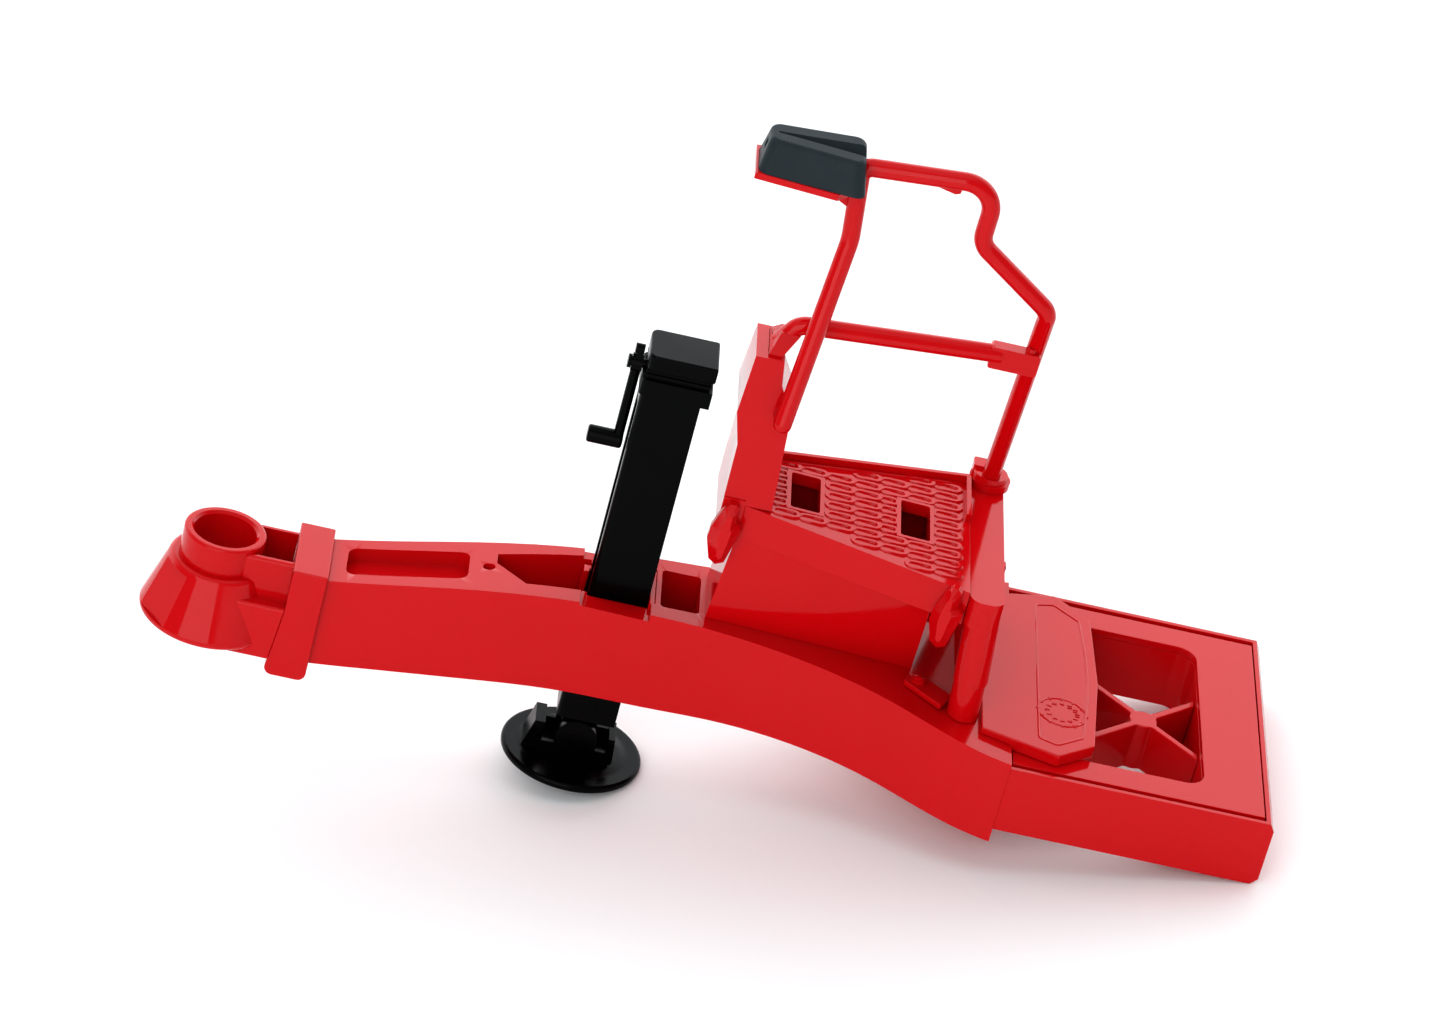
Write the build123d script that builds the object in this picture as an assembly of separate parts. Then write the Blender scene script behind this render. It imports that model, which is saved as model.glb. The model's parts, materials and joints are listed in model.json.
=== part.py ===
from build123d import *
import math
import os

os.makedirs("parts", exist_ok=True)

# Toy trailer drawbar, millimetres. Every piece is drawn in the drawbar's own frame:
# +X runs rearwards from the hitch bore, +Z up along the jack, Y = 0 is the middle plane.
# The finished set is then pitched so it rests on its foot plate and rear frame, on Z = 0.

# Overall sizes
beam_start = 13.0
beam_end = 142.0
frame_end = 190.0
frame_half = 30.8
frame_top = 4.5
frame_bottom = -8.4

# Hitch eye
eye_bore = 5.65
eye_radius = 7.4
eye_lip = 0.5
bell_top_radius = 8.8
bell_radius = 12.9
bell_bottom = -18.0
bell_height = 12.5

# Band round the neck
band_end = 19.3
band_half = 8.6
band_top = -0.4
band_bottom = -22.6
neck_half = 5.9
band_lean = 1.4
band_lean_top = -8.0

# Jack and its guide
jack_x = 70.1
jack_long = 10.7
jack_wide = 9.0
jack_top = 47.4
leg_end = -21.0
guide_clear = 0.1
guide_wall = 1.1
head_wide = 10.2
head_top = 55.5
collar_front_over = 0.5
cap_front_over = 0.1
head_rear_over = 1.4
collar_tall = 3.2
head_recess = 1.8

# Crank
crank_z = 50.9
crank_arm_length = 15.9
crank_arm_radius = 0.9
crank_hub_radius = 1.6
crank_hub_long = 1.9
crank_gap = 0.2
grip_radius = 1.6
grip_length = 6.3
pin_radius = 0.85
pin_reach = 1.5
pin_clear = 0.05

# Foot
foot_x = 69.3
foot_radius = 12.9
foot_bottom = leg_end - 10.0
foot_thick = 1.5
foot_axle_z = leg_end - 4.0
foot_axle_radius = 1.2
ear_radius = 3.8
ear_thick = 1.4
ear_clear = 0.12
tang_wide = 6.4

# Deck, on its slope
deck_start = 87.0
deck_end = 128.0
deck_front_z = 32.6
deck_rear_z = 30.95
deck_front_half = 9.2
deck_rear_half = 19.4
deck_thick = 1.9
skirt_drop = 6.6
skirt_thick = 1.5
deck_lip_rise = 1.4
deck_lip_thick = 0.9
hole_long = 5.3
hole_half = 5.9
hole_front_x = 97.8
hole_rear_x = 117.9
hole_rim = 0.8
hole_rim_rise = 0.35

# Step box under the deck
box_front = 85.4
box_rear = 123.6
box_low_half = 6.6
box_wall = 1.5
clip_front_x = 84.9
clip_rear_x = 125.6

# Front panel
panel_top_z = 60.4
panel_low_half = 9.6
panel_top_half = 5.9
panel_wall = 1.5
panel_rear = 91.8
tab_thick = 2.4
tab_half = 4.9

# Bolster
bolster_front = 128.1
bolster_long = 6.2
bolster_half = 21.5
bolster_top = 30.6
bolster_depth = 5.5
post_lean = 1.8
post_radius = 3.1
seam_z = 13.2

# Rails
rail_radius = 1.65
rail_top_z = 98.0
rail_bends = [9.0, 2.0, 5.2, 4.0, 3.6]
collar_radius = 3.75
collar_y = 20.4
collar_x = 131.5

# Saddle
saddle_front = 74.4
saddle_rear = 93.2
saddle_bottom = 94.8
saddle_top = 100.7
saddle_plate_thick = 1.2

# Rear frame and tongue
window_front = 150.0
window_rear = 177.4
window_half = 22.6
lip_wall = 1.0
lip_groove = 1.1
lip_depth = 1.5
tongue_top = 6.9
brace_top = 1.6

seat = 0.02


# Drawing helpers

def prism_y(points, y0, y1):
    face = Face(Wire.make_polygon([Vector(x, y0, z) for x, z in points], close=True))
    return Solid.extrude(face, Vector(0, y1 - y0, 0))


def prism_z(points, z0, z1):
    face = Face(Wire.make_polygon([Vector(x, y, z0) for x, y in points], close=True))
    return Solid.extrude(face, Vector(0, 0, z1 - z0))


def prism_x(points, x0, x1):
    face = Face(Wire.make_polygon([Vector(x0, y, z) for y, z in points], close=True))
    return Solid.extrude(face, Vector(x1 - x0, 0, 0))


def block(x0, x1, y0, y1, z0, z1):
    return Pos((x0 + x1) / 2, (y0 + y1) / 2, (z0 + z1) / 2) * Box(x1 - x0, y1 - y0, z1 - z0)


def rod(p, q, radius):
    start, end = Vector(*p), Vector(*q)
    axis = end - start
    return Solid.make_cylinder(radius, axis.length, Plane(origin=start, z_dir=axis))


def post(x, y, z0, z1, radius):
    return rod((x, y, z0), (x, y, z1), radius)


def rounded_block(x0, x1, y0, y1, z0, z1, radius):
    return fillet(block(x0, x1, y0, y1, z0, z1).edges().filter_by(Axis.Z), radius)


def single(shape):
    solids = shape.solids()
    return max(solids, key=lambda s: s.volume)


# Lines shared by neighbouring pieces

beam_plan = [(13.0, 7.1), (40, 8.0), (65, 9.3), (88, 10.7), (105, 14.0), (120, 19.9), (132, 27.0),
             (beam_end, frame_half)]
beam_crown = [(13.0, -2.6), (20, -1.6), (40, 2.5), (60, 5.9), (75, 7.0), (90, 7.1), (110, 6.6),
              (130, 5.8), (beam_end, 5.35)]
beam_belly = [(13.0, -19.9), (20, -19.2), (32, -17.4), (44.5, -15.4), (57, -13.4), (66, -12.5),
              (79, -12.0), (90, -11.1), (105, -10.4), (120, -10.5), (beam_end, -11.1)]


def along(line, x):
    for (xa, va), (xb, vb) in zip(line, line[1:]):
        if x <= xb:
            return va + (vb - va) * (x - xa) / (xb - xa)
    return line[-1][1]


def crown_z(x):
    curve = Edge.make_spline([Vector(a, 0, b) for a, b in beam_crown])
    marks = [curve @ (i / 60) for i in range(61)]
    return along([(p.X, p.Z) for p in marks], x)


def deck_z(x):
    slope = (deck_rear_z - deck_front_z) / (deck_end - deck_start)
    return deck_front_z + slope * (x - deck_start)


def deck_half(x):
    slope = (deck_rear_half - deck_front_half) / (deck_end - deck_start)
    return deck_front_half + slope * (x - deck_start)


def deck_flare():
    return math.degrees(math.atan2(deck_rear_half - deck_front_half, deck_end - deck_start))


# Drawbar

def make_hitch_head():
    eye = post(0, 0, bell_bottom, 0, eye_radius)
    eye = fillet(eye.edges().filter_by(GeomType.CIRCLE).group_by(Axis.Z)[-1], eye_lip)
    bell = Solid.make_cone(bell_radius, bell_top_radius, bell_height, Plane((0, 0, bell_bottom)))
    bell = fillet(bell.edges().filter_by(GeomType.CIRCLE), 1.1)
    slope = math.degrees(math.atan2(bell_radius - bell_top_radius, bell_height))
    for side in (1, -1):
        facet = Pos(-bell_top_radius + 0.7, 0, bell_bottom + bell_height) * Rot(0, slope, 0)
        bell -= Rot(0, 0, side * 35) * facet * Pos(-10, 0, -6.6) * Box(20, 8.6, 10.4)
    upper_neck = block(0, beam_start - seat, -neck_half, neck_half, -17.0, -0.9)
    upper_neck = fillet(upper_neck.edges().filter_by(Axis.X).group_by(Axis.Z)[-1], 0.6)
    lower_neck = block(0, beam_start - seat, -8.9, 8.9, bell_bottom - 1.2, -8.6)
    lower_neck = fillet(lower_neck.edges().filter_by(Axis.X).group_by(Axis.Z)[-1], 0.6)
    pocket = block(2, beam_start + 1, -neck_half + 1.1, neck_half - 1.1, -9.0, 1)
    pocket -= post(0, 0, -30, 5, eye_radius)
    head = eye + bell + upper_neck + lower_neck - pocket - post(0, 0, -30, 5, eye_bore)
    head -= Solid.make_cone(eye_bore, eye_bore + 0.5, 0.5, Plane((0, 0, -0.49)))
    underside = block(eye_radius + 0.6, beam_start - 1.6, -7.2, 7.2, bell_bottom - 3, bell_bottom + 2)
    lean = prism_y([(beam_start, band_lean_top), (beam_start - band_lean, band_bottom),
                    (beam_start + 2, band_bottom), (beam_start + 2, band_lean_top)], -20, 20)
    return single(head - underside - lean)


def make_neck_band():
    front = beam_start + seat
    outer = prism_y([(front, band_top), (front, band_lean_top), (front - band_lean, band_bottom),
                     (band_end, band_bottom), (band_end, band_top)], -band_half, band_half)
    outer = fillet(outer.edges().filter_by(Axis.Y).group_by(Axis.Z)[0], 1.5)
    half = along(beam_plan, band_end) + 0.3
    low = along(beam_belly, beam_start) - 0.2
    high = along(beam_crown, band_end) + 0.15
    return single(outer - block(beam_start - 1, band_end + 1, -half, half, low, high))


def beam_shell():
    crown = Edge.make_spline([Vector(x, 0, z) for x, z in beam_crown])
    belly = Edge.make_spline([Vector(x, 0, z) for x, z in reversed(beam_belly)])
    end = Edge.make_line(crown @ 1, belly @ 0)
    start = Edge.make_line(belly @ 1, crown @ 0)
    side = Solid.extrude(Face(Wire([crown, end, belly, start])), Vector(0, 80, 0))
    side = Pos(0, -40, 0) * side
    near = Edge.make_spline([Vector(x, -y, -40) for x, y in beam_plan])
    far = Edge.make_spline([Vector(x, y, -40) for x, y in reversed(beam_plan)])
    tail = Edge.make_line(near @ 1, far @ 0)
    nose = Edge.make_line(far @ 1, near @ 0)
    plan = Solid.extrude(Face(Wire([near, tail, far, nose])), Vector(0, 0, 80))
    return side & plan


def make_beam():
    body = beam_shell()
    pocket = rounded_block(22.2, 43.4, -4.5, 4.5, -10, 10, 1.8)
    body -= pocket & prism_y([(20, -4.4), (46, 0.6), (46, 12), (20, 12)], -9, 9)
    body -= post(46.9, 0, 0, 10, 1.1)
    wedge = [(48.2, 4.4), (48.2, 1.4), (53.6, -4.9), (64.9, -5.2), (64.9, 6.9)]
    body -= prism_z(wedge, -2.5, 12)
    reach = jack_long / 2 + guide_clear + guide_wall
    half = jack_wide / 2 + guide_clear + guide_wall + 0.05
    body -= block(jack_x - reach, jack_x + reach, -half, half, -30, 20)
    body -= block(jack_x - reach - 0.2, jack_x + reach - 0.7, -20, 20, 5.6, 12)
    body -= rounded_block(jack_x + reach + 0.9, 84.6, -6.2, 6.2, -6.0, 20, 0.8)
    for x0, x1, inset in ((24, 41, 2.4), (43, 61, 2.6), (90, 104, 3.0), (106, 119, 3.6), (121, 138, 5.5)):
        y0, y1 = along(beam_plan, x0) - inset, along(beam_plan, x1) - inset
        z1 = max(along(beam_belly, x0), along(beam_belly, x1)) + 3.4
        body -= prism_z([(x0, -y0), (x1, -y1), (x1, y1), (x0, y0)], -30, z1)
    return single(body)


def make_jack_guide():
    low = along(beam_belly, jack_x) - 0.2
    reach = jack_long / 2 + guide_clear + guide_wall
    half = jack_wide / 2 + guide_clear + guide_wall
    outer = block(jack_x - reach, jack_x + reach, -half, half, low, 5.2)
    rim = block(jack_x + reach - guide_wall, jack_x + reach, -half, half, 5.2, 6.9)
    inner_reach, inner_half = reach - guide_wall, half - guide_wall
    bore = block(jack_x - inner_reach, jack_x + inner_reach, -inner_half, inner_half, low - 1, 20)
    mouth = block(jack_x - reach - 1, jack_x - inner_reach + 0.5, -3.4, 3.4, 0.5, 20)
    return single(outer + rim - bore - mouth)


def make_tongue_plate():
    low = 4.52
    outline = [(136.2, 23.0), (150.2, 27.0), (156.8, 21.3), (157.8, 0)]
    mirrored = [(x, -y) for x, y in reversed(outline) if y]
    plate = prism_z(outline + mirrored, low, tongue_top)
    plate = plate - single(beam_shell())
    return single(plate)


def make_locating_tab():
    z = along(beam_crown, 139.6)
    return block(139.0, 140.2, 27.2, 29.4, z + seat, z + 5.0)


def frame_outline():
    corner = 1.3
    return [(beam_end + seat, frame_bottom), (beam_end + seat, frame_top),
            (frame_end - 0.8, frame_top), (frame_end, frame_top - 1.4),
            (frame_end, frame_bottom + corner), (frame_end - corner, frame_bottom)]


def make_rear_frame():
    body = prism_y(frame_outline(), -frame_half, frame_half)
    body -= rounded_block(window_front, window_rear, -window_half, window_half, -20, 20, 3.6)
    floor = frame_top - lip_depth
    inner = frame_half - lip_wall
    body -= block(beam_end - 1, frame_end - 1.6, -inner, inner, floor, 20)
    for x0, x1 in ((144.2, 148.0), (179.6, 187.4)):
        body -= rounded_block(x0, x1, -26, -1, frame_bottom - 1, frame_bottom + 3.4, 1.2)
        body -= rounded_block(x0, x1, 1, 26, frame_bottom - 1, frame_bottom + 3.4, 1.2)
    for side in (1, -1):
        body -= rounded_block(151, 177, *sorted((side * 24.8, side * 28.8)),
                              frame_bottom - 1, frame_bottom + 3.4, 1.2)
    return single(body)


def make_frame_plate():
    inner = frame_half - lip_wall - lip_groove
    floor = frame_top - lip_depth
    plate = block(beam_end + 0.4, frame_end - 1.8, -inner, inner, floor + seat, frame_top - 0.05)
    plate -= rounded_block(window_front, window_rear, -window_half, window_half, -20, 20, 3.6)
    return single(plate)


def make_cross_brace():
    x0, x1 = window_front + 0.05, window_rear - 0.05
    ribs = None
    for side in (1, -1):
        bar = prism_z([(x0, side * 15.5), (x0, side * 17.5), (x1, -side * 8.0), (x1, -side * 10.0)],
                      frame_bottom + 0.8, brace_top)
        ribs = bar if ribs is None else ribs + bar
    middle = (x0 + x1) / 2
    ribs += post(middle + 3.9, 0, frame_bottom + 0.8, brace_top, 2.6)
    return single(ribs)


# Step box, deck and clips

def make_step_box():
    top, base = 34.0, 4.0
    grow = (top - 7.0) / (30.0 - 7.0)
    low = [(box_front, -box_low_half), (box_rear, -box_low_half), (box_rear, box_low_half),
           (box_front, box_low_half)]
    front_half = box_low_half + (9.4 - box_low_half) * grow
    rear_half = box_low_half + (17.0 - box_low_half) * grow
    high = [(box_front + 2.2, -front_half), (box_rear - 1.2, -rear_half),
            (box_rear - 1.2, rear_half), (box_front + 2.2, front_half)]
    outer = ruled_box(low, high, base, top)
    inset_low = inset_quad(low, box_wall)
    inset_high = inset_quad(high, box_wall)
    inner = ruled_box(inset_low, inset_high, base, top)
    shell = outer - inner
    x0, x1 = 80, 130
    floor = [(x, crown_z(x) + 0.05) for x in range(x0, x1 + 1, 5)]
    under = floor + [(x1, deck_z(x1) - deck_thick - seat), (x0, deck_z(x0) - deck_thick - seat)]
    skirt = deck_slab(-skirt_drop - 0.1, 0, 0) - deck_slab(-skirt_drop - 1, 1, skirt_thick + 0.1)
    return single((shell & prism_y(under, -40, 40)) - skirt)


def ruled_box(low, high, z0, z1):
    lower = Wire.make_polygon([Vector(x, y, z0) for x, y in low], close=True)
    upper = Wire.make_polygon([Vector(x, y, z1) for x, y in high], close=True)
    return Solid.make_loft([lower, upper], ruled=True)


def inset_quad(quad, wall):
    (xa, ya), (xb, yb), (xc, yc), (xd, yd) = quad
    return [(xa + wall, ya + wall), (xb - wall, yb + wall), (xc - wall, yc - wall), (xd + wall, yd - wall)]


def deck_slab(low, high, inset):
    x0, x1 = deck_start + inset, deck_end - inset
    plan = [(x0, -deck_half(x0) + inset), (x1, -deck_half(x1) + inset),
            (x1, deck_half(x1) - inset), (x0, deck_half(x0) - inset)]
    side = [(x0, deck_z(x0) + low), (x1, deck_z(x1) + low), (x1, deck_z(x1) + high), (x0, deck_z(x0) + high)]
    return prism_z(plan, 0, 60) & prism_y(side, -40, 40)


def make_deck():
    body = deck_slab(-skirt_drop, 0, 0) - deck_slab(-skirt_drop - 1, -deck_thick, skirt_thick)
    lip = deck_slab(-1, deck_lip_rise, 0) - deck_slab(-2, deck_lip_rise + 1, deck_lip_thick)
    body += lip & block(panel_rear + 0.4, deck_end + 1, 5, 40, 0, 60)
    for x in (hole_front_x, hole_rear_x):
        reach = hole_long / 2 + hole_rim
        rim = block(x - reach, x + reach, -hole_half - hole_rim, hole_half + hole_rim, 20, 60)
        body += rim & deck_slab(-1, hole_rim_rise, 0.2)
        body -= rounded_block(x - hole_long / 2, x + hole_long / 2, -hole_half, hole_half, 20, 60, 0.5)
    return single(body)


def make_ladder_clip(x, half, turn):
    top = deck_z(x) - 0.3
    outline = [(-2.9, -4.2), (-1.5, -0.1), (-0.6, 0.9), (0.5, 0.9), (1.2, 0.2), (1.3, -2.6), (2.4, -3.6),
               (2.2, -5.2), (0.9, -10.9), (-0.5, -11.6), (-1.9, -10.7), (-3.1, -6.6)]
    base = prism_y([(u, top + w) for u, w in outline], -1.4, 0)
    crest = Wire.make_polygon([Vector(u, -1.4, top + w) for u, w in outline], close=True)
    peak = Wire.make_polygon([Vector(u * 0.35 - 0.2, -3.3, top + w * 0.72 - 1.1) for u, w in outline], close=True)
    body = base + Solid.make_loft([crest, peak], ruled=True)
    return Pos(x, -half - seat, 0) * Rot(0, 0, -turn) * single(body)


# Front panel, bolster and their fittings

def panel_loft(grow, low_z, high_z):
    lower = [(80, -panel_low_half + grow), (95, -panel_low_half + grow), (95, panel_low_half - grow),
             (80, panel_low_half - grow)]
    upper = [(80, -panel_top_half + grow), (95, -panel_top_half + grow), (95, panel_top_half - grow),
             (80, panel_top_half - grow)]
    return ruled_box(lower, upper, low_z, high_z)


def make_front_panel():
    z0 = deck_z(deck_start) - deck_thick
    profile = [(83.0, z0 + 1.95), (83.0, 43.6), (81.5, 49.5), (82.3, panel_top_z), (87.4, panel_top_z),
               (88.0, 56.0), (90.9, 50.6), (panel_rear, z0 + 1.95)]
    outer = prism_y(profile, -20, 20) & panel_loft(0, 31.0, panel_top_z)
    foot = block(83.0, deck_start - seat, -panel_low_half, panel_low_half, z0 - 4.0, z0 + 3.0)
    body = outer + foot
    hollow = [(85.4, 20), (85.4, 43.9), (84.2, 49.4), (84.9, 57.0), (86.4, 57.0), (90.0, 50.0), (94, 50.0),
              (94, 20)]
    body -= prism_y(hollow, -20, 20) & panel_loft(panel_wall, 31.0, panel_top_z)
    body -= block(84.45, 84.45 + tab_thick + 0.1, -tab_half - 0.05, tab_half + 0.05, 55.0, 70)
    over = [(deck_start - 0.01, deck_z(deck_start) + seat), (110, deck_z(110) + seat), (110, 0),
            (deck_start - 0.01, 0)]
    return single(body - prism_y(over, -40, 40))


def make_panel_boss():
    y = -panel_face_y(51.0)
    boss = rod((88.9, y + 0.6, 50.6), (88.9, y - 2.2, 50.6), 1.1)
    return single(boss - panel_loft(-seat, 31.0, panel_top_z) - swept_rail(0.02))


def panel_face_y(z):
    share = (z - 31.0) / (panel_top_z - 31.0)
    return panel_low_half + (panel_top_half - panel_low_half) * share


def make_bolster():
    x0, x1 = bolster_front, bolster_front + bolster_long
    bar = block(x0, x1, -bolster_half, bolster_half, bolster_top - bolster_depth, bolster_top)
    bar = fillet(bar.edges().filter_by(Axis.Z), 2.4)
    web_x = (x0 + x1) / 2
    web = prism_y([(web_x - 1.0, bolster_top - 2), (web_x + 1.0, bolster_top - 2),
                   (web_x + 1.0 + post_lean, 6.5), (web_x - 1.0 + post_lean, 6.5)], -14.8, 14.8)
    body = bar + web
    for side in (1, -1):
        y = side * (bolster_half - post_radius)
        body += rod((web_x, y, bolster_top - 1.5), (web_x + 1.35, y, seam_z), post_radius)
    body -= prism_y([(x0 - 20, -5), (x1 + 20, -5), (x1 + 20, along(beam_crown, x1) + 1.2),
                     (x0 - 20, along(beam_crown, x0) + 1.2)], -50, 50)
    return single(body)


def make_post_stub(side):
    web_x = bolster_front + bolster_long / 2
    y = side * (bolster_half - post_radius)
    top = (web_x + 1.35, y, seam_z - 0.1)
    base = (web_x + post_lean, y, 3.0)
    stub = rod(base, top, post_radius - 0.25)
    stub -= prism_y([(100, -20), (160, -20), (160, 5.0), (beam_end, along(beam_crown, beam_end) + 0.1),
                     (130, 5.9), (110, 6.7), (100, 6.9)], -50, 50)
    return single(stub - beam_shell())


def make_base_tab(side):
    outline = [(131.0, 15.3), (128.6, 19.4), (122.0, 13.6), (122.6, 11.2), (125.2, 10.4)]
    z = along(beam_crown, 122.0) + 0.08
    tab = prism_z([(x, side * y) for x, y in outline], z, z + 1.1)
    return single(tab - make_post_stub(side))


def make_base_rivet(side):
    z = along(beam_crown, 122.0) + 0.08 + 1.1 + seat
    head = post(124.6, side * 12.9, z, z + 0.5, 1.35)
    return single(head + Solid.make_cone(1.1, 0.5, 0.45, Plane((124.6, side * 12.9, z + 0.5))))


def make_rail_collar():
    z = bolster_top + seat
    disc = post(collar_x, collar_y, z, z + 1.4, collar_radius)
    hub = post(collar_x, collar_y, z, z + 2.4, collar_radius - 0.7)
    square = block(collar_x - 3.3, collar_x - 0.6, collar_y + 0.4, collar_y + 3.5, z, z + 3.0)
    body = disc + hub + fillet(square.edges().filter_by(Axis.Z), 0.5)
    return single(body - swept_rail() - deck_slab(-skirt_drop, deck_lip_rise, -0.05))


# Handrails and saddle

def rail_corners():
    return [(89.3, -10.15, 49.0), (93.2, -1.0, 84.0), (91.9, 0, rail_top_z - 0.3),
            (115.5, 0, rail_top_z + 1.6), (115.3, 0, 88.2), (130.1, 0.9, 77.4),
            (collar_x, collar_y, bolster_top + 0.1)]


def bent_tube(corners, bends, radius):
    points = [Vector(*p) for p in corners]
    edges, at = [], points[0]
    for before, corner, after, bend in zip(points, points[1:], points[2:], bends):
        into, away = (corner - before).normalized(), (after - corner).normalized()
        half = math.acos(max(-1.0, min(1.0, into.dot(away)))) / 2
        reach = bend * math.tan(half)
        first, last = corner - into * reach, corner + away * reach
        middle = corner + (away - into).normalized() * (bend / math.cos(half) - bend)
        edges += [Edge.make_line(at, first), Edge.make_three_point_arc(first, middle, last)]
        at = last
    edges.append(Edge.make_line(at, points[-1]))
    start = Plane(origin=edges[0] @ 0, z_dir=edges[0] % 0)
    return Solid.sweep(Wire.make_circle(radius, start), Wire(edges))


def swept_rail(extra=0.0):
    return bent_tube(rail_corners(), rail_bends, rail_radius + extra)


def make_main_rail():
    tube = swept_rail()
    ends = tube.edges().filter_by(GeomType.CIRCLE).sort_by(Axis.X)
    body = fillet(ends[0:1], rail_radius - 0.25)
    body += prism_y([(101.0, 98.2), (108.6, 96.6), (109.4, 96.9), (109.8, 98.6)], -0.6, 0.6)
    floor = block(120, 140, 10, 30, 0, bolster_top + seat)
    return single(body - floor)


def make_mid_rail():
    tube = bent_tube([(86.0, 0, 60.9), (88.8, 0, 65.0), (124.6, 3.2, 66.2)], [3.0], rail_radius)
    tab = block(84.5, 84.5 + tab_thick, -tab_half, tab_half, 57.0, panel_top_z + 0.4)
    flare = ruled_box([(84.5, -tab_half), (86.9, -tab_half), (86.9, tab_half), (84.5, tab_half)],
                      [(86.0, -1.6), (89.4, -1.6), (89.4, 1.6), (86.0, 1.6)], panel_top_z + 0.3, 63.6)
    body = tube + tab + flare
    lug = block(122.6, 131.3, 1.9, 4.6, 63.7, 67.9)
    body += fillet(lug.edges().filter_by(Axis.Y), 0.5)
    pip = rod((129.6, 3.1, 67.8), (129.6, 3.1, 68.7), 0.7)
    body += pip
    body -= swept_rail()
    panel_zone = block(80, 84.48, -20, 20, 40, 70) + block(86.92, 95, -20, 20, 40, panel_top_z + 0.05)
    return single(body - panel_zone)


def saddle_quads():
    low = [(saddle_front, -5.0), (saddle_rear, -6.9), (saddle_rear, 6.9), (saddle_front, 5.0)]
    high = [(saddle_front + 1.0, -3.3), (saddle_rear - 1.2, -5.3), (saddle_rear - 1.2, 5.3),
            (saddle_front + 1.0, 3.3)]
    return low, high


def make_saddle_plate():
    points = [(saddle_front - 0.4, -5.2), (88.6, -6.8), (91.6, -3.2), (93.0, -1.4), (93.0, 1.4), (91.6, 3.2),
              (88.6, 6.8), (saddle_front - 0.4, 5.2)]
    plate = prism_z(points, saddle_bottom - saddle_plate_thick, saddle_bottom - seat)
    web = prism_y([(84.0, saddle_bottom - saddle_plate_thick + 0.1), (92.2, saddle_bottom - 5.5),
                   (92.6, saddle_bottom - saddle_plate_thick + 0.1)], -0.9, 0.9)
    return single(plate + web - swept_rail(0.02))


def make_hose_saddle():
    low, high = saddle_quads()
    body = ruled_box(low, high, saddle_bottom, saddle_top)
    levels = body.edges().group_by(Axis.Z)
    body = fillet([edge for group in levels[1:-1] for edge in group], 2.0)
    body = fillet(body.edges().group_by(Axis.Z)[-1], 1.0)
    groove_low = saddle_top - 2.3
    vee = Solid.make_loft([
        Wire.make_polygon([Vector(76.6, 0, saddle_top - 0.6), Vector(76.6, -0.5, saddle_top + 0.6),
                           Vector(76.6, 0.5, saddle_top + 0.6)], close=True),
        Wire.make_polygon([Vector(94.0, 0, groove_low), Vector(94.0, -3.0, saddle_top + 0.6),
                           Vector(94.0, 3.0, saddle_top + 0.6)], close=True)], ruled=True)
    body = body - vee
    body -= block(saddle_front - 1, saddle_front + 1.6, -0.8, 0.8, saddle_bottom + 2.6, saddle_bottom + 4.2)
    return single(body - swept_rail(0.02))


# Jack

def make_jack_leg():
    reach, half = jack_long / 2, jack_wide / 2
    body = block(jack_x - reach, jack_x + reach, -half, half, leg_end, jack_top - seat)
    front = body.edges().filter_by(Axis.Z).group_by(Axis.X)[0]
    body = fillet(front, 1.3)
    body -= block(jack_x - reach - 1, jack_x - reach + 1.4, -2.2, 2.2, -8.0, 44.0)
    rungs = [block(jack_x - reach + 0.5, jack_x - reach + 1.45, -2.25, 2.25, z, z + 1.2)
             for z in (2.0, 12.0, 22.0, 32.0)]
    for rung in rungs:
        body += rung
    tang = block(foot_x - 3.1, foot_x + 3.1, -tang_wide / 2, tang_wide / 2, foot_axle_z, leg_end + 0.5)
    tang += rod((foot_x, -tang_wide / 2, foot_axle_z), (foot_x, tang_wide / 2, foot_axle_z), 3.1)
    body += tang
    return single(body - rod((foot_x, -10, foot_axle_z), (foot_x, 10, foot_axle_z), foot_axle_radius))


def collar_front():
    return jack_x - jack_long / 2 - collar_front_over


def make_jack_collar():
    front, rear, half = collar_front(), jack_x + jack_long / 2 + head_rear_over, head_wide / 2
    body = block(front, rear, -half, half, jack_top, jack_top + collar_tall)
    body = fillet(body.edges().filter_by(Axis.Z).group_by(Axis.X)[0], 1.3)
    top = jack_top + collar_tall + head_recess
    neck = block(front + 0.6, rear - 0.7, -half + 0.6, half - 0.6, jack_top + 1, top)
    middle = jack_top + collar_tall + head_recess / 2
    ridge = block(front + 0.5, rear - 0.4, -half + 0.3, half - 0.3, middle - 0.2, middle + 0.2)
    pin_seat = rod((0, 0, crank_z), (front + pin_reach, 0, crank_z), pin_radius)
    return single(body + neck + ridge - pin_seat)


def make_jack_cap():
    front, half = jack_x - jack_long / 2 - cap_front_over, head_wide / 2
    body = block(front, jack_x + jack_long / 2 + head_rear_over, -half, half,
                 jack_top + collar_tall + head_recess + seat, head_top)
    return single(fillet(body.edges().filter_by(Axis.Z).group_by(Axis.X)[0], 1.5))


def make_crank_pin():
    back, face = collar_front() + pin_reach - seat, collar_front() - crank_gap
    pin = rod((face - crank_hub_long - 0.1, 0, crank_z), (back, 0, crank_z), pin_radius)
    cap = rod((face - crank_hub_long - 0.7, 0, crank_z), (face - crank_hub_long - 0.1, 0, crank_z), 1.25)
    return single(pin + cap)


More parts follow.
